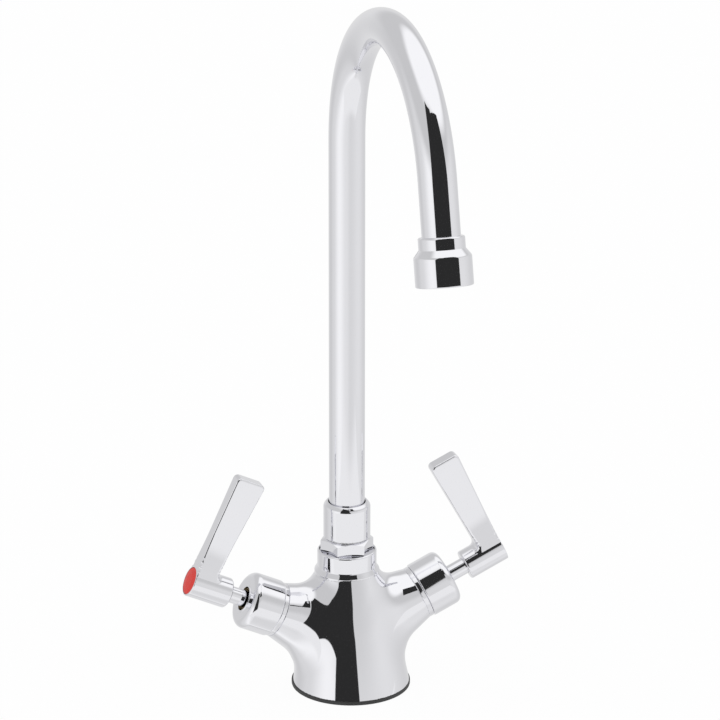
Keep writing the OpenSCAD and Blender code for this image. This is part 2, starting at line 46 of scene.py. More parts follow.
joints = {joint["name"]: joint for joint in frame["joints"]}
nodes = frame["nodes"]
record_colour = {entry["slot"]: entry["base_color"] for entry in frame["record"]["materials"]}
sides = ("hot", "cold")

# The bell of the body, measured along its lean; it ends inside the collar of the neck
bell_radius = 27.6 * mm
bell_height = 52 * mm
bell_end = bell_height - 0.6 * mm
shoulder_radius = 14.2 * mm
bell_power = 1.2
bell_step = 2 * mm
body_voxel = 1 * mm
# How far bell and arms run on past the faces that are cut later
run_on = 8 * mm

# The arms, measured along the stems
arm_length = 36 * mm
arm_thickening = 0.12
arm_deepening = 0.3
arm_deepest = 16 * mm
arm_fillet = 8.5 * mm

# The neck and what it is bored for
neck_wall = 0.85 * mm
collar_radius = shoulder_radius + 0.3 * mm
collar_rise = 1 * mm
collar_height = 2 * mm
recess_depth = 3 * mm
underside_radius = 19 * mm
underside_depth = 4 * mm

# The nut
nut_barrel = 6 * mm
nut_gap = 0.35 * mm
nut_turn = math.radians(-7)
nut_chamfer = math.radians(30)

# The gooseneck
tube_radius = 7.95 * mm
tube_wall = 1.2 * mm
bend_radius = 62.9 * mm
bend_height = 252.2 * mm
bend_angle = math.radians(165.8)

# The bonnet
bonnet_wall = 2.4 * mm
bonnet_rounding = 3.1 * mm
bonnet_hole = 5.4 * mm
bonnet_lip = 0.9 * mm
bonnet_lip_height = 0.3 * mm

# The lever, measured from the stem's axis and from the hub's inner end
stem_radius = 3.75 * mm
hub_wall = 0.6 * mm
hub_inner_edge = 0.8 * mm
hub_outer_edge = 0.3 * mm
blade_length = 52.2 * mm
blade_root_width = 10.2 * mm
blade_tip_width = 13.8 * mm
blade_root_half = 3.1 * mm
blade_tip_half = 3.4 * mm
blade_corner = 2.2 * mm
blade_edge = 0.8 * mm
blade_fillet = 3 * mm
blade_flare = 18 * mm
lever_voxel = 0.4 * mm

# The camera, fitted to the photograph, with its angles in degrees
view_azimuth = -17.022
view_elevation = 19.233
view_distance = 1.7326
view_height = 0.1507
sensor_width = 36.0
focal_length = 197.65
frame_shift = (0.0182, 0.001)


# Axes

def axis_frame(origin, along, across):
    """Matrix whose Z runs along an axis, with Y across it."""
    z = Vector(along).normalized()
    y = Vector(across).normalized()
    matrix = Matrix((y.cross(z), y, z)).transposed().to_4x4()
    matrix.translation = Vector(origin)
    return matrix


spout_foot = Vector(joints["spout_swivel"]["pos_m"])
deck_axis = Matrix.Identity(4)
spout_axis = Matrix.Translation(spout_foot)
stem_origin = Vector(joints["cold_lever_turn"]["pos_m"])
# Z outwards along the stem and X up along the blade
stem_axis = {
    "hot": axis_frame(stem_origin, -Vector(joints["hot_lever_turn"]["axis"]), (0, 1, 0)),
    "cold": axis_frame(stem_origin, joints["cold_lever_turn"]["axis"], (0, -1, 0)),
}
bend_centre = Vector((0, spout_foot.y - bend_radius, bend_height))
# Z along the flow from the end of the bend
outlet_axis = (
    Matrix.Translation(bend_centre)
    @ Matrix.Rotation(bend_angle, 4, "X")
    @ Matrix.Translation((0, bend_radius, 0))
)
bell_lean = math.atan(spout_foot.y / bell_height)
bell_axis = Matrix.Rotation(-bell_lean, 4, "X")


def span(node, axis):
    """Start and end of a CAD node along an axis, and its largest radius about it."""
    inverse = axis.inverted()
    points = [inverse @ vertex.co for vertex in nodes[node].data.vertices]
    heights = [point.z for point in points]
    radii = [math.hypot(point.x, point.y) for point in points]
    return min(heights), max(heights), max(radii)


# Modelling

def lone(obj):
    """Makes one object the only one selected, and the active one."""
    bpy.ops.object.select_all(action="DESELECT")
    obj.select_set(True)
    bpy.context.view_layer.objects.active = obj
    return obj


def rounded(corners, steps=8):
    """Outline through corners of (across, up, rounding), with an arc at each rounded one."""
    points = []
    for i, (across, up, radius) in enumerate(corners):
        corner = Vector((across, up))
        if radius == 0:
            points.append(corner)
            continue
        after = corners[(i + 1) % len(corners)]
        back = (Vector(corners[i - 1][:2]) - corner).normalized()
        forth = (Vector(after[:2]) - corner).normalized()
        half = back.angle(forth) / 2
        centre = corner + (back + forth).normalized() * radius / math.sin(half)
        start = corner + back * radius / math.tan(half) - centre
        end = corner + forth * radius / math.tan(half) - centre
        sweep = math.pi - 2 * half
        for step in range(steps + 1):
            k = step / steps
            spoke = start * math.sin((1 - k) * sweep) + end * math.sin(k * sweep)
            points.append(centre + spoke / math.sin(sweep))
    return points


def draw(name, outline, closed):
    """Starts a mesh in edit mode with an outline in the XZ plane, all selected."""
    bpy.ops.object.select_all(action="DESELECT")
    bpy.ops.mesh.primitive_plane_add(size=mm)
    bpy.context.object.name = name
    bpy.ops.object.mode_set(mode="EDIT")
    bpy.ops.mesh.merge(type="CENTER")
    points = [Vector((across, 0, up)) for across, up in outline]
    bpy.ops.transform.translate(value=points[0])
    route = points + points[:1] if closed else points
    for here, there in zip(route, route[1:]):
        bpy.ops.mesh.extrude_vertices_move(TRANSFORM_OT_translate={"value": there - here})
    bpy.ops.mesh.select_all(action="SELECT")
    bpy.ops.mesh.remove_doubles(threshold=0.001 * mm)
    return bpy.context.object


def leave_edit_mode():
    """Merges doubles, points the faces outwards and returns the finished mesh."""
    bpy.ops.mesh.select_all(action="SELECT")
    bpy.ops.mesh.remove_doubles(threshold=0.001 * mm)
    bpy.ops.mesh.normals_make_consistent(inside=False)
    bpy.ops.object.mode_set(mode="OBJECT")
    return bpy.context.object


def place(obj, axis):
    """Moves a shape onto its axis, with its place in its mesh."""
    lone(obj)
    obj.matrix_world = axis
    bpy.ops.object.transform_apply(location=True, rotation=True, scale=True)
    return obj


def turned(name, outline, axis, steps=96):
    """Turns an outline of radius and height about an axis, as on a lathe."""
    draw(name, outline, closed=min(point[0] for point in outline) > 0)
    bpy.ops.mesh.spin(steps=steps, angle=math.tau, center=(0, 0, 0), axis=(0, 0, 1))
    return place(leave_edit_mode(), axis)


def rod(name, radius, low, high, axis, steps=96):
    """Turns a plain round bar along an axis."""
    return turned(name, [(0, low), (radius, low), (radius, high), (0, high)], axis, steps)


def plate(name, outline, depth):
    """Cuts an outline in the XZ plane from a plate, centred on that plane."""
    draw(name, outline, closed=True)
    bpy.ops.mesh.edge_face_add()
    bpy.ops.transform.translate(value=(0, -depth / 2, 0))
    bpy.ops.mesh.extrude_region_move(TRANSFORM_OT_translate={"value": (0, depth, 0)})
    return leave_edit_mode()


def modify(obj, kind, **settings):
    """Adds a modifier with its settings and applies it."""
    lone(obj)
    modifier = obj.modifiers.new(kind.title(), kind)
    for name, value in settings.items():
        setattr(modifier, name, value)
    bpy.ops.object.modifier_apply(modifier=modifier.name)
    return obj


def combine(obj, others, operation):
    """Joins, cuts or intersects a mesh with others, which are used up."""
    for other in others:
        modify(obj, "BOOLEAN", object=other, operation=operation, solver="MANIFOLD")
        bpy.data.objects.remove(other)
    return obj


def merged(objs):
    """Joins meshes into the first of them as loose shells."""
    lone(objs[0])
    for obj in objs:
        obj.select_set(True)
    bpy.ops.object.join()
    return objs[0]


def smooth(obj, degrees=32):
    """Smooth shading, with edges sharper than an angle kept crisp."""
    lone(obj)
    bpy.ops.object.shade_smooth_by_angle(angle=math.radians(degrees))
    return modify(obj, "WEIGHTED_NORMAL", keep_sharp=True)


def copy_of(obj, name):
    """Copy of an object with its own mesh."""
    twin = obj.copy()
    twin.data = obj.data.copy()
    twin.name = name
    bpy.context.scene.collection.objects.link(twin)
    return twin


def slice_off(obj, point, normal):
    """Cuts away what lies beyond a plane and closes the cut."""
    lone(obj)
    bpy.ops.object.mode_set(mode="EDIT")
    bpy.ops.mesh.select_all(action="SELECT")
    bpy.ops.mesh.bisect(plane_co=point, plane_no=normal, use_fill=True, clear_outer=True)
    bpy.ops.mesh.select_all(action="SELECT")
    bpy.ops.mesh.remove_doubles(threshold=0.02 * mm)
    bpy.ops.object.mode_set(mode="OBJECT")
    return obj


# Castings: a rough mesh settles on the skin of a field, which is negative inside the metal

def seen_from(points, axis):
    """Coordinates of points along an axis's own X, Y and Z."""
    inverse = np.array(axis.inverted())
    return (points @ inverse[:3, :3].T + inverse[:3, 3]).T


def melt(first, second, fillet):
    """Joins two fields, with a fillet where they meet."""
    overlap = np.maximum(fillet - np.abs(first - second), 0)
    return np.minimum(first, second) - overlap ** 2 / (4 * fillet)


def trim(first, second, edge):
    """Keeps what two fields share, with a rounded edge where they meet."""
    corner = np.hypot(np.maximum(first + edge, 0), np.maximum(second + edge, 0))
    return np.minimum(np.maximum(first, second), -edge) + corner


def settle(obj, field, passes=8):
    """Moves each vertex along the field's slope onto its skin."""
    step = 0.01 * mm
    count = len(obj.data.vertices)
    flat = np.empty(3 * count, dtype=np.float32)
    obj.data.vertices.foreach_get("co", flat)
    points = flat.reshape(count, 3).astype(float)
    for _ in range(passes):
        value = field(points)
        slope = np.stack([field(points + step * way) - value for way in np.eye(3)], axis=1) / step
        steepness = np.maximum(np.sum(slope ** 2, axis=1), 0.1)
        points -= slope * (value / steepness)[:, None]
    obj.data.vertices.foreach_set("co", points.astype(np.float32).ravel())
    obj.data.update()
    return obj


def cast(objs, field, voxel):
    """Fuses rough shapes into one mesh and settles it on a field."""
    casting = merged(objs)
    modify(casting, "REMESH", mode="VOXEL", voxel_size=voxel)
    settle(casting, field)
    modify(casting, "SMOOTH", factor=0.5, iterations=3)
    return settle(casting, field)


# Body

shoulder = bell_height * math.cos(bell_lean)
nut_low, nut_top, nut_corner = span("spout_nut", spout_axis)
nut_bottom = nut_low + nut_barrel
neck_top = nut_bottom + recess_depth
recess_radius = nut_corner + nut_gap
barrel_radius = span("snap_ring", spout_axis)[2] + 0.8 * mm
arm_radius = span("bonnet_ring_cold", stem_axis["cold"])[2]


def bell_radius_at(height):
    """Bell that draws in towards its shoulder, faster as it rises."""
    climb = np.clip((height + run_on) / (bell_height + run_on), 0, 1.2)
    return bell_radius - (bell_radius - shoulder_radius) * climb ** bell_power


def body_field(points):
    """Leaning bell and two arms, run on past the faces that are cut later."""
    x, y, height = seen_from(points, bell_axis)
    field = trim(np.hypot(x, y) - bell_radius_at(height), height - bell_end, 0.4 * mm)
    for side in sides:
        high, thick, along = seen_from(points, stem_axis[side])
        inwards = np.clip(arm_length - along, 0, None)
        half_thick = arm_radius + arm_thickening * inwards
        half_high = arm_radius + arm_deepening * np.minimum(inwards, arm_deepest)
        arm = np.hypot(high * half_thick / half_high, thick) - half_thick
        arm = trim(trim(arm, along - arm_length - run_on, mm), -along, mm)
        field = melt(field, arm, arm_fillet)
    return trim(field, -height - run_on, mm)


def body_casting():
    gasket_top = span("base_gasket", deck_axis)[1]
    rows = round((bell_height + run_on + mm) / bell_step)
    heights = [-run_on + bell_step * row for row in range(rows)]
    bell = turned("body_casting", [
        (0, heights[0]), *[(float(bell_radius_at(height)), height) for height in heights], (0, heights[-1]),
    ], bell_axis)
    arms = [rod("arm", arm_radius, mm, arm_length + run_on, stem_axis[side]) for side in sides]
    body = cast([bell, *arms], body_field, body_voxel)
    modify(body, "SUBSURF", levels=1, render_levels=1)
    settle(body, body_field, 4)
    slice_off(body, (0, 0, gasket_top), (0, 0, -1))
    for side in sides:
        axis = stem_axis[side]
        slice_off(body, axis @ Vector((0, 0, arm_length)), axis.to_3x3() @ Vector((0, 0, 1)))

    neck_radius = recess_radius + neck_wall
    neck_root = shoulder - 5 * mm
    collar_low = shoulder + collar_rise
    neck = turned("neck", rounded([
        (0, neck_root, 0), (collar_radius, neck_root, 0), (collar_radius, collar_low, 0.5 * mm),
        (neck_radius, collar_low + collar_height, 0.9 * mm),
        (neck_radius, neck_top, 0.75 * mm), (0, neck_top, 0),
    ]), spout_axis, 192)
    combine(body, [neck], "UNION")

    bore_low = span("spout_sleeve", spout_axis)[0] - 4 * mm
    bore_radius = barrel_radius + clearance
    bore = turned("bore", [
        (0, bore_low), (bore_radius, bore_low), (bore_radius, nut_bottom),
        (recess_radius, nut_bottom), (recess_radius, neck_top + mm), (0, neck_top + mm),
    ], spout_axis)
    hollow = rod("hollow", underside_radius, -mm, gasket_top + underside_depth, deck_axis)
    holes = [hollow, bore]
    for mount in frame["record"]["mounts"]:
        if mount["kind"] == "threaded_hole":
            radius = mount["dims"]["r_mm"] * mm
            depth = mount["dims"]["length_mm"] * mm
            holes.append(rod("hole", radius, -mm, depth, Matrix.Translation(mount["pos_m"]), 48))
    combine(body, holes, "DIFFERENCE")
    return smooth(body)


def deck_gasket():
    low, high, outer = span("base_gasket", deck_axis)
    inner = underside_radius + mm
    return smooth(turned("deck_gasket", rounded([
        (inner, low, 0), (outer, low, 0.3 * mm), (outer, high, 0.6 * mm), (inner, high, 0),
    ]), deck_axis, 128))


# Nut

def hexagon_nut():
    flat = nut_corner * math.cos(math.radians(30))
    chamfer = (nut_corner - flat) * math.tan(nut_chamfer) + 0.4 * mm
    inset = chamfer / math.tan(nut_chamfer)
    bpy.ops.object.select_all(action="DESELECT")
    bpy.ops.mesh.primitive_cylinder_add(
        vertices=6, radius=nut_corner, depth=nut_top - nut_bottom,
        location=(0, 0, (nut_top + nut_bottom) / 2), rotation=(0, 0, nut_turn + math.radians(30)),
    )
    nut = bpy.context.object
    nut.name = "hexagon_nut"
    bpy.ops.object.transform_apply(location=True, rotation=True, scale=True)
    modify(nut, "BEVEL", width=0.3 * mm, segments=3, limit_method="ANGLE", angle_limit=math.radians(40))
    cone = turned("cone", rounded([
        (0, nut_bottom, 0), (nut_corner - inset, nut_bottom, 0),
        (nut_corner, nut_bottom + chamfer, 0.5 * mm), (nut_corner, nut_top - chamfer, 0.5 * mm),
        (nut_corner - inset, nut_top, 0.4 * mm), (0, nut_top, 0),
    ]), deck_axis)
    combine(nut, [cone], "INTERSECT")
    bore_radius = span("snap_ring", spout_axis)[2] - 0.9 * mm
    flange_radius = recess_radius - 0.15 * mm
    flange_top = neck_top - 0.9 * mm
    barrel = turned("barrel", rounded([
        (0, nut_low, 0), (barrel_radius, nut_low, 0), (barrel_radius, nut_bottom, 0),
        (flange_radius, nut_bottom, 0), (flange_radius, flange_top, 0.4 * mm), (0, flange_top, 0),
    ]), deck_axis)
    combine(nut, [barrel], "UNION")
    combine(nut, [rod("bore", bore_radius, nut_low - mm, nut_top + mm, deck_axis)], "DIFFERENCE")
    return smooth(place(nut, spout_axis))


# Spout

def swan_neck():
    """Drawn tube: a circle run up the riser, spun round the bend and run down the drop."""
    foot, _, _ = span("gooseneck_tube", spout_axis)
    drop = span("aerator_housing", outlet_axis)[0]
    bpy.ops.object.select_all(action="DESELECT")
    bpy.ops.mesh.primitive_circle_add(
        vertices=72, radius=tube_radius, location=spout_foot + Vector((0, 0, foot)),
    )
    tube = bpy.context.object
    tube.name = "swan_neck"
    bpy.ops.object.transform_apply(location=True, rotation=True, scale=True)
    bpy.ops.object.mode_set(mode="EDIT")
    bpy.ops.mesh.select_all(action="SELECT")
    bpy.ops.mesh.extrude_region_move(TRANSFORM_OT_translate={"value": (0, 0, bend_height - foot)})
    bpy.ops.mesh.spin(steps=128, angle=bend_angle, center=bend_centre, axis=(-1, 0, 0))
    flow = outlet_axis.to_3x3() @ Vector((0, 0, 1))
    bpy.ops.mesh.extrude_region_move(TRANSFORM_OT_translate={"value": flow * drop})
    leave_edit_mode()
    modify(tube, "SOLIDIFY", thickness=tube_wall, offset=-1)
    return smooth(tube)


def spout_collar():
    """Sleeve round the foot of the tube, with the spigot that turns in the body."""
    low, top, radius = span("spout_sleeve", spout_axis)
    washer_top = span("thrust_washer", spout_axis)[1]
    tube_foot = span("gooseneck_tube", spout_axis)[0]
    snap_low, snap_high, snap_radius = span("snap_ring", spout_axis)
    spigot = snap_radius - mm
    waterway = spigot - 2.9 * mm
    socket = tube_radius + clearance
    slope = 0.55 * (radius - socket)
    return smooth(turned("spout_collar", rounded([
        (waterway, low, 0), (spigot, low, 0.4 * mm),
        (spigot, snap_low, 0), (spigot - 1.1 * mm, snap_low, 0), (spigot - 1.1 * mm, snap_high, 0),
        (spigot, snap_high, 0), (spigot, washer_top, 0),
        (radius, washer_top, 0.5 * mm), (radius, top - 1.15 * slope, 2.6 * mm),
        (radius - slope, top, 0.5 * mm), (socket + 0.3 * mm, top, 0.1 * mm),
        (socket, top - 1.2 * mm, 0), (socket, tube_foot, 0), (waterway, tube_foot, 0),
    ]), spout_axis, 128))


def outlet_ring():
    start, end, radius = span("outlet_collar", outlet_axis)
    housing_start = span("aerator_housing", outlet_axis)[0]
    bore = tube_radius + clearance
    nipple = span("aerator_washer", outlet_axis)[2]
    return smooth(turned("outlet_ring", rounded([
        (bore, start + 0.3 * mm, 0), (bore + 0.4 * mm, start, 0.1 * mm), (radius, start, 0.9 * mm),
        (radius, housing_start, 0), (nipple, housing_start, 0), (nipple, end, 0), (bore, end, 0),
    ]), outlet_axis, 128))


def aerator_shell():
    start, end, radius = span("aerator_housing", outlet_axis)
    collar = span("outlet_collar", outlet_axis)[2]
    bore = span("aerator_insert", outlet_axis)[2] + clearance
    slope = 2.9 * mm
    lip = 1.4 * mm
    return smooth(turned("aerator_shell", rounded([
        (bore, start, 0), (collar, start, 0), (radius, start + slope, 1.6 * mm), (radius, end, 0.6 * mm),
        (bore - 1.1 * mm, end, 0.5 * mm), (bore - 1.1 * mm, end - lip, 0), (bore, end - lip, 0),
    ]), outlet_axis, 128))


# Valve arms, built on the cold side's axis and copied to the hot side

def bonnet_cap(axis):
    start, end, radius = span("bonnet_cold", axis)
    flange_end = span("cartridge_cold", axis)[1]
    face = end - bonnet_lip_height
    bore = radius - bonnet_wall
    lip = bonnet_hole + bonnet_lip
    return turned("bonnet_cap", rounded([
        (bore, start, 0), (radius, start, 0.5 * mm), (radius, face, bonnet_rounding),
        (lip, face, 0.15 * mm), (lip, end, 0.15 * mm), (bonnet_hole, end, 0.4 * mm),
        (bonnet_hole, flange_end, 0), (bore, flange_end, 0),
    ]), deck_axis, 128)


def bonnet_washer(axis):
    start, end, radius = span("bonnet_ring_cold", axis)
    bore = span("bonnet_cold", axis)[2] - bonnet_wall
    return turned("bonnet_washer", rounded([
        (bore, start, 0), (radius, start, 0.5 * mm), (radius, end, 0.5 * mm), (bore, end, 0),
    ]), deck_axis, 128)


def valve_stem(axis):
    start, end, _ = span("stem_cold", axis)
    return turned("valve_stem", rounded([
        (0, start, 0), (stem_radius, start, 0.3 * mm), (stem_radius, end, 0.4 * mm), (0, end, 0),
    ]), deck_axis, 64)


def lever_handle(axis):
    start, end, _ = span("lever_cold", axis)
    button_low, _, button_radius = span("index_button_cold", axis)
    stem_end = span("stem_cold", axis)[1]
    hub_radius = button_radius + hub_wall
    length = end - start
    # The flare starts at a point of the hub's circle
    flare_start = 0.6 * hub_radius
    flare_half = 0.8 * hub_radius
    flare_end = hub_radius + blade_flare
    widening = (blade_tip_width - blade_root_width) / (blade_length - hub_radius)

    def field(points):
        """Blade over a round hub: X up the blade, Y across it and Z along the stem."""
        up, across, along = points.T
        hub = np.hypot(up, across) - hub_radius
        flare = np.clip((flare_end - up) / (flare_end - flare_start), 0, 1)
        taper = np.clip((up - flare_end) / (blade_length - flare_end), 0, 1)
        half = (
            blade_root_half + (flare_half - blade_root_half) * flare ** 2
            + (blade_tip_half - blade_root_half) * taper
        )
        inner = length - along - blade_root_width - widening * (up - hub_radius)
        outline = trim(up - blade_length, along - length, blade_corner)
        outline = trim(outline, melt(inner, hub, blade_fillet), blade_corner)
        blade = trim(outline, np.abs(across) - half, blade_edge)
        lever = np.minimum(np.maximum(blade, -up), hub)
        return trim(trim(lever, -along, hub_inner_edge), along - length, hub_outer_edge)

    blade = plate("lever_handle", [
        (0, length), (blade_length, length), (blade_length, length - blade_tip_width),
        (hub_radius, length - blade_root_width), (0, length - blade_root_width),
    ], 2 * blade_root_half)
    hub = rod("hub", hub_radius, 0, length, deck_axis)
    lever = cast([blade, hub], field, lever_voxel)
    modify(lever, "SUBSURF", levels=1, render_levels=1)
    settle(lever, field, 4)
    combine(lever, [
        rod("recess", button_radius + 0.5 * clearance, button_low - start, length + mm, deck_axis),
        rod("socket", stem_radius + clearance, -mm, stem_end - start, deck_axis, 64),
    ], "DIFFERENCE")
    return place(lever, Matrix.Translation((0, 0, start)))


def index_button(axis):
    start, end, radius = span("index_button_cold", axis)
    edge_height = end - 0.35 * mm
    return turned("button", rounded([
        (0, start, 0), (radius, start, 0), (radius, edge_height, 0.5 * mm),
        (0.5 * radius, end, 4 * mm), (0, end, 0),
    ]), deck_axis, 96)


# Finishes

class Socket:
    """An output of a shader node that takes part in arithmetic."""

    def __init__(self, shader, output):
        self.shader = shader
        self.output = output

    def math(self, operation, first, second):
        return self.shader.node("ShaderNodeMath", {"operation": operation}, {0: first, 1: second})["Value"]

    def __add__(self, other):
        return self.math("ADD", self, other)

    def __sub__(self, other):
        return self.math("SUBTRACT", self, other)

    def __rsub__(self, other):
        return self.math("SUBTRACT", other, self)

    def __mul__(self, other):
        return self.math("MULTIPLY", self, other)

    __radd__ = __add__
    __rmul__ = __mul__


class Shader:
    """Node tree of a material or of the world."""

    def __init__(self, owner):
        owner.use_nodes = True
        self.tree = owner.node_tree
        self.tree.nodes.clear()

    def node(self, kind, settings=None, sockets=None):
        """Adds a node, sets it, feeds its sockets and returns its outputs by name."""
        node = self.tree.nodes.new(kind)
        for name, value in (settings or {}).items():
            if name == "interpolation":
                node.color_ramp.interpolation = value
            elif name == "stops":
                ramp = node.color_ramp.elements
                while len(ramp) < len(value):
                    ramp.new(1)
                for element, (position, colour) in zip(ramp, value):
                    element.position = position
                    element.color = (*colour, 1)
            else:
                setattr(node, name, value)
        inputs = [entry for entry in node.inputs if entry.enabled]
        for key, value in (sockets or {}).items():
            entry = inputs[key] if isinstance(key, int) else next(i for i in inputs if i.name == key)
            if isinstance(value, Socket):
                self.tree.links.new(value.output, entry)
            else:
                entry.default_value = value
        return {entry.name: Socket(self, entry) for entry in node.outputs if entry.enabled}


def noise(shader, scale, detail=3, roughness=0.5):
    """Noise in the piece's own space."""
    place_on = shader.node("ShaderNodeTexCoord")["Object"]
    return shader.node("ShaderNodeTexNoise", {}, {
        "Vector": place_on, "Scale": scale, "Detail": detail, "Roughness": roughness,
    })["Fac"]


def blend(shader, amount, first, second):
    """Mixes two colours."""
    return shader.node("ShaderNodeMix", {"data_type": "RGBA"}, {
        "Factor": amount, "A": first, "B": second,
    })["Result"]


def mixed(shader, amount, first, second):
    """Mixes two shaders."""
    return shader.node("ShaderNodeMixShader", {}, {0: amount, 1: first, 2: second})["Shader"]


def scaled(colour, factor):
    """Opaque colour, made brighter or darker."""
    return (*[channel * factor for channel in colour], 1)


def tinted(shader, colour, low, high, amount):
    """Colour that wanders between two strengths of itself."""
    return blend(shader, amount, scaled(colour, low), scaled(colour, high))


def finish(name, build):
    """Material made by a function that returns the sockets of its main shader."""
    material = bpy.data.materials.new(name)
    shader = Shader(material)
    surface = shader.node("ShaderNodeBsdfPrincipled", {}, build(shader))["BSDF"]
    shader.node("ShaderNodeOutputMaterial", {}, {"Surface": surface})
    return material


def bumped(shader, height, strength, distance):
    """Normal that follows a small relief."""
    return shader.node("ShaderNodeBump", {}, {
        "Height": height, "Strength": strength, "Distance": distance,
    })["Normal"]


def polished_chrome(shader):
    smears = noise(shader, 60, 4)
    polish = noise(shader, 900, 2)
    colour = record_colour["chrome"]
    return {
        "Base Color": tinted(shader, colour, 0.985, 1.015, smears),
        "Metallic": 1.0,
        "Roughness": 0.025 + 0.03 * smears,
        "Normal": bumped(shader, polish, 0.02, 0.00005),
    }


def moulded_rubber(shader):
    grain = noise(shader, 2500, 2)
    dust = noise(shader, 90, 4)
    colour = record_colour["rubber"]
    return {
        "Base Color": tinted(shader, colour, 0.8, 1.6, dust),
        "Roughness": 0.45 + 0.2 * grain,
        "Normal": bumped(shader, grain, 0.25, 0.0001),
    }


def glossy_plastic(slot):
    def build(shader):
        cloud = noise(shader, 220, 3)
        colour = record_colour[slot]
        return {
            "Base Color": tinted(shader, colour, 0.92, 1.06, cloud),
            "Roughness": 0.28 + 0.08 * cloud,
            "Specular IOR Level": 0.1,
            "Normal": bumped(shader, cloud, 0.04, 0.0002),
        }
    return build


def matt_plastic(shader):
    grain = noise(shader, 1800, 3)
    colour = record_colour["white_plastic"]
    return {
        "Base Color": tinted(shader, colour, 0.96, 1.02, grain),
        "Roughness": 0.42 + 0.12 * grain,
        "Normal": bumped(shader, grain, 0.1, 0.0001),
    }


def lapped_ceramic(shader):
    speckle = noise(shader, 3000, 2)
    colour = record_colour["ceramic"]
    return {
        "Base Color": tinted(shader, colour, 0.95, 1.02, speckle),
        "Roughness": 0.2 + 0.1 * speckle,
        "Normal": bumped(shader, speckle, 0.05, 0.00005),
    }


def turned_metal(slot, roughness):
    """Turned metal: fine tool marks over a faint tarnish."""
    def build(shader):
        marks = noise(shader, 1400, 5, 0.7)
        tarnish = noise(shader, 70, 3)
        colour = record_colour[slot]
        return {
            "Base Color": tinted(shader, colour, 0.85, 1.05, tarnish),
            "Metallic": 1.0,
            "Roughness": roughness + 0.15 * marks,
            "Normal": bumped(shader, marks, 0.15, 0.0001),
        }
    return build


finishes = {
    "chrome": finish("polished_chrome", polished_chrome),
    "rubber": finish("moulded_rubber", moulded_rubber),
    "red_plastic": finish("red_button", glossy_plastic("red_plastic")),
    "blue_plastic": finish("blue_button", glossy_plastic("blue_plastic")),
    "white_plastic": finish("white_acetal", matt_plastic),
    "ceramic": finish("lapped_ceramic", lapped_ceramic),
    "brass": finish("turned_brass", turned_metal("brass", 0.5)),
    "steel": finish("bright_steel", turned_metal("steel", 0.2)),
}


# Assembly

def dress(obj, body, slot, node):
    """Gives a piece its finish, lets it ride on a body and stand for a CAD node."""
    obj.data.materials.clear()
    obj.data.materials.append(finishes[slot])
    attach(obj, body)
    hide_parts(node)


for entry in frame["record"]["subparts"]:
    for material_slot in nodes[entry["node"]].material_slots:
        material_slot.material = finishes[entry["material_slot"]]

dress(body_casting(), "body", "chrome", "valve_body")
dress(deck_gasket(), "body", "rubber", "base_gasket")
dress(hexagon_nut(), "body", "chrome", "spout_nut")
dress(swan_neck(), "spout", "chrome", "gooseneck_tube")
dress(spout_collar(), "spout", "chrome", "spout_sleeve")
dress(outlet_ring(), "spout", "chrome", "outlet_collar")
dress(aerator_shell(), "spout", "chrome", "aerator_housing")

cold_axis = stem_axis["cold"]
button_slot = {"hot": "red_plastic", "cold": "blue_plastic"}
for make, node, on_lever in (
    (bonnet_cap, "bonnet", False),
    (bonnet_washer, "bonnet_ring", False),
    (valve_stem, "stem", True),
    (lever_handle, "lever", True),
    (index_button, "index_button", True),
):
    pattern = make(cold_axis)
    for side in sides:
        piece = smooth(place(copy_of(pattern, f"{pattern.name}_{side}"), stem_axis[side]))
        body = f"{side}_lever" if on_lever else "body"
        slot = button_slot[side] if node == "index_button" else "chrome"
        dress(piece, body, slot, f"{node}_{side}")
    bpy.data.objects.remove(pattern)


# Stage

# Brightness of the tent's cloth: degrees round the tap from the user, and the level at which chrome shows it
tent_levels = (
    (-180, 215), (-140, 200), (-110, 213), (-65, 241), (-20, 222),
    (5, 212), (60, 221), (120, 206), (180, 215),
)
# Upper wall and ceiling of the tent, in degrees upwards
wall_level = 196
wall_from = 16
ceiling_level = 245
ceiling_from = 60
tent_soft = 9
# Floor before the tap that shows in the chrome
floor_level = 231
floor_far = -282 * mm
floor_fade = 60 * mm
floor_near = -50 * mm
floor_half = 230 * mm
floor_soft = 14 * mm
# Dark gap in the tent round the camera, in degrees
gap_level = 42
gap_left = -48
gap_right = 1
gap_lean = -0.2
gap_low = -14
gap_high = 60
gap_soft = 0.6
# Softbox over the tap's right side, in degrees, and how soft its edge is
softbox_azimuth = 100
softbox_elevation = 65
softbox_reach = 40
softbox_soft = 0.08
# Dark card before the spout
flag_distance = 230 * mm
flag_left = -35 * mm
flag_right = 105 * mm
flag_low = 236 * mm
flag_high = 480 * mm


def grey(level):
    """Light that the chrome shows at a display level of 0 to 255."""
    linear = ((level / 255 + 0.055) / 1.055) ** 2.4
    light = linear / record_colour["chrome"][1]
    return (light, light, light, 1)


def past(shader, value, edge, soft):
    """Rises from 0 to 1 as a value passes an edge."""
    return shader.node("ShaderNodeMapRange", {"interpolation_type": "SMOOTHSTEP"}, {
        "Value": value - edge, "From Min": -soft, "From Max": soft,
    })["Result"]


def direction(azimuth, elevation):
    """Unit vector from the tap, by degrees from the user towards the cold side, and upwards."""
    turn = math.radians(azimuth)
    rise = math.radians(elevation)
    return (math.sin(turn) * math.cos(rise), -math.cos(turn) * math.cos(rise), math.sin(rise))


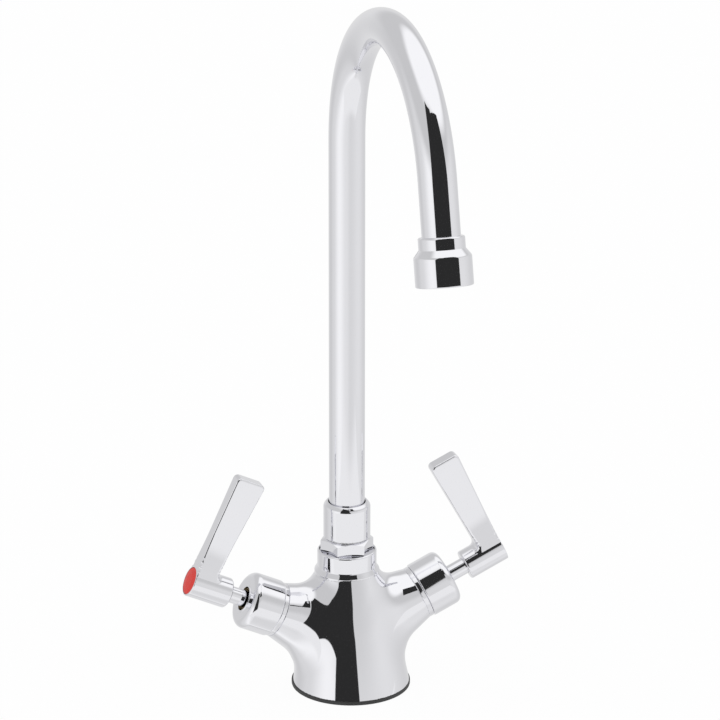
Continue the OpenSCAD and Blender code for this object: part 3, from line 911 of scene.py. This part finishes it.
def tent(shader):
    """Pale tent that the chrome mirrors, with a dark gap, a softbox and a bright ceiling."""
    way = shader.node("ShaderNodeTexCoord")["Generated"]
    axes = shader.node("ShaderNodeSeparateXYZ", {}, {0: way})
    turn = shader.node("ShaderNodeMath", {"operation": "ARCTAN2"}, {0: axes["X"], 1: 0 - axes["Y"]})["Value"]
    rise = shader.node("ShaderNodeMath", {"operation": "ARCSINE"}, {0: axes["Z"]})["Value"]
    azimuth = turn * math.degrees(1)
    elevation = rise * math.degrees(1)
    stops = [(degrees / 360 + 0.5, grey(level)[:3]) for degrees, level in tent_levels]
    light = shader.node("ShaderNodeValToRGB", {"stops": stops, "interpolation": "EASE"}, {
        "Fac": azimuth * (1 / 360) + 0.5,
    })["Color"]
    light = blend(shader, past(shader, elevation, wall_from, tent_soft), light, grey(wall_level))
    facing = shader.node("ShaderNodeVectorMath", {"operation": "DOT_PRODUCT"}, {
        0: way, 1: direction(softbox_azimuth, softbox_elevation),
    })["Value"]
    softbox = past(shader, facing, math.cos(math.radians(softbox_reach)), softbox_soft)
    light = blend(shader, softbox, light, grey(ceiling_level))
    light = blend(shader, past(shader, elevation, ceiling_from, tent_soft), light, grey(ceiling_level))

    leaning = azimuth - gap_lean * elevation
    across = past(shader, azimuth, gap_left, gap_soft) * (1 - past(shader, leaning, gap_right, gap_soft))
    above = past(shader, elevation, gap_low, gap_soft)
    below = 1 - past(shader, elevation, gap_high, gap_soft)
    return blend(shader, across * (above * below), light, grey(gap_level))


def studio_floor():
    """White paper that keeps a faint shadow; the chrome shows it before the tap and the tent past it."""
    bpy.ops.object.select_all(action="DESELECT")
    bpy.ops.mesh.primitive_plane_add(size=6)
    floor = bpy.context.object
    floor.name = "studio_floor"
    material = bpy.data.materials.new("white_floor")
    shader = Shader(material)
    light_path = shader.node("ShaderNodeLightPath")
    glow = shader.node("ShaderNodeEmission", {}, {"Color": (1, 1, 1, 1)})["Emission"]
    paper = shader.node("ShaderNodeBsdfDiffuse", {}, {"Color": (0.9, 0.9, 0.9, 1)})["BSDF"]
    spot = shader.node("ShaderNodeSeparateXYZ", {}, {0: shader.node("ShaderNodeTexCoord")["Object"]})
    x, y = spot["X"], spot["Y"]
    before = past(shader, y, floor_far, floor_fade) - past(shader, y, floor_near, floor_soft)
    beside = past(shader, x, -floor_half, floor_soft) - past(shader, x, floor_half, floor_soft)
    clear = shader.node("ShaderNodeBsdfTransparent")["BSDF"]
    bright = shader.node("ShaderNodeEmission", {}, {"Color": grey(floor_level)})["Emission"]
    mirrored = mixed(shader, before * beside, clear, bright)
    surface = mixed(shader, light_path["Is Glossy Ray"], paper, mirrored)
    surface = mixed(shader, 0.95 * light_path["Is Camera Ray"], surface, glow)
    shader.node("ShaderNodeOutputMaterial", {}, {"Surface": surface})
    floor.data.materials.append(material)


def studio_world():
    """White for the camera, the tent for the chrome and even light for the rest."""
    world = bpy.data.worlds.new("studio")
    bpy.context.scene.world = world
    shader = Shader(world)
    light_path = shader.node("ShaderNodeLightPath")
    even = shader.node("ShaderNodeBackground", {}, {"Color": (0.95, 0.95, 0.97, 1)})["Background"]
    mirrored = shader.node("ShaderNodeBackground", {}, {"Color": tent(shader)})["Background"]
    white = shader.node("ShaderNodeBackground", {}, {"Color": (1, 1, 1, 1)})["Background"]
    surface = mixed(shader, light_path["Is Glossy Ray"], even, mirrored)
    surface = mixed(shader, light_path["Is Camera Ray"], surface, white)
    shader.node("ShaderNodeOutputWorld", {}, {"Surface": surface})


def spout_flag():
    """Dark card before the spout, which only the chrome shows."""
    bpy.ops.object.select_all(action="DESELECT")
    bpy.ops.mesh.primitive_plane_add(size=1)
    obj = bpy.context.object
    obj.name = "spout_flag"
    place(obj, (
        Matrix.Translation(((flag_left + flag_right) / 2, -flag_distance, (flag_low + flag_high) / 2))
        @ Matrix.Diagonal((flag_right - flag_left, 1, flag_high - flag_low, 1))
        @ Matrix.Rotation(math.radians(90), 4, "X")
    ))
    material = bpy.data.materials.new(obj.name)
    shader = Shader(material)
    surface = shader.node("ShaderNodeEmission", {}, {"Color": grey(gap_level)})["Emission"]
    shader.node("ShaderNodeOutputMaterial", {}, {"Surface": surface})
    obj.data.materials.append(material)
    obj.visible_camera = False
    obj.visible_diffuse = False
    obj.visible_shadow = False


def camera():
    data = bpy.data.cameras.new("camera")
    data.sensor_width = sensor_width
    data.lens = focal_length
    data.shift_x, data.shift_y = frame_shift
    obj = bpy.data.objects.new("camera", data)
    bpy.context.scene.collection.objects.link(obj)
    back = Vector(direction(view_azimuth, view_elevation))
    obj.location = spout_foot + Vector((0, 0, view_height)) + view_distance * back
    obj.rotation_euler = (math.radians(90 - view_elevation), 0, math.radians(view_azimuth))
    bpy.context.scene.camera = obj


studio_floor()
studio_world()
spout_flag()
camera()
bpy.context.scene.view_settings.view_transform = "Standard"
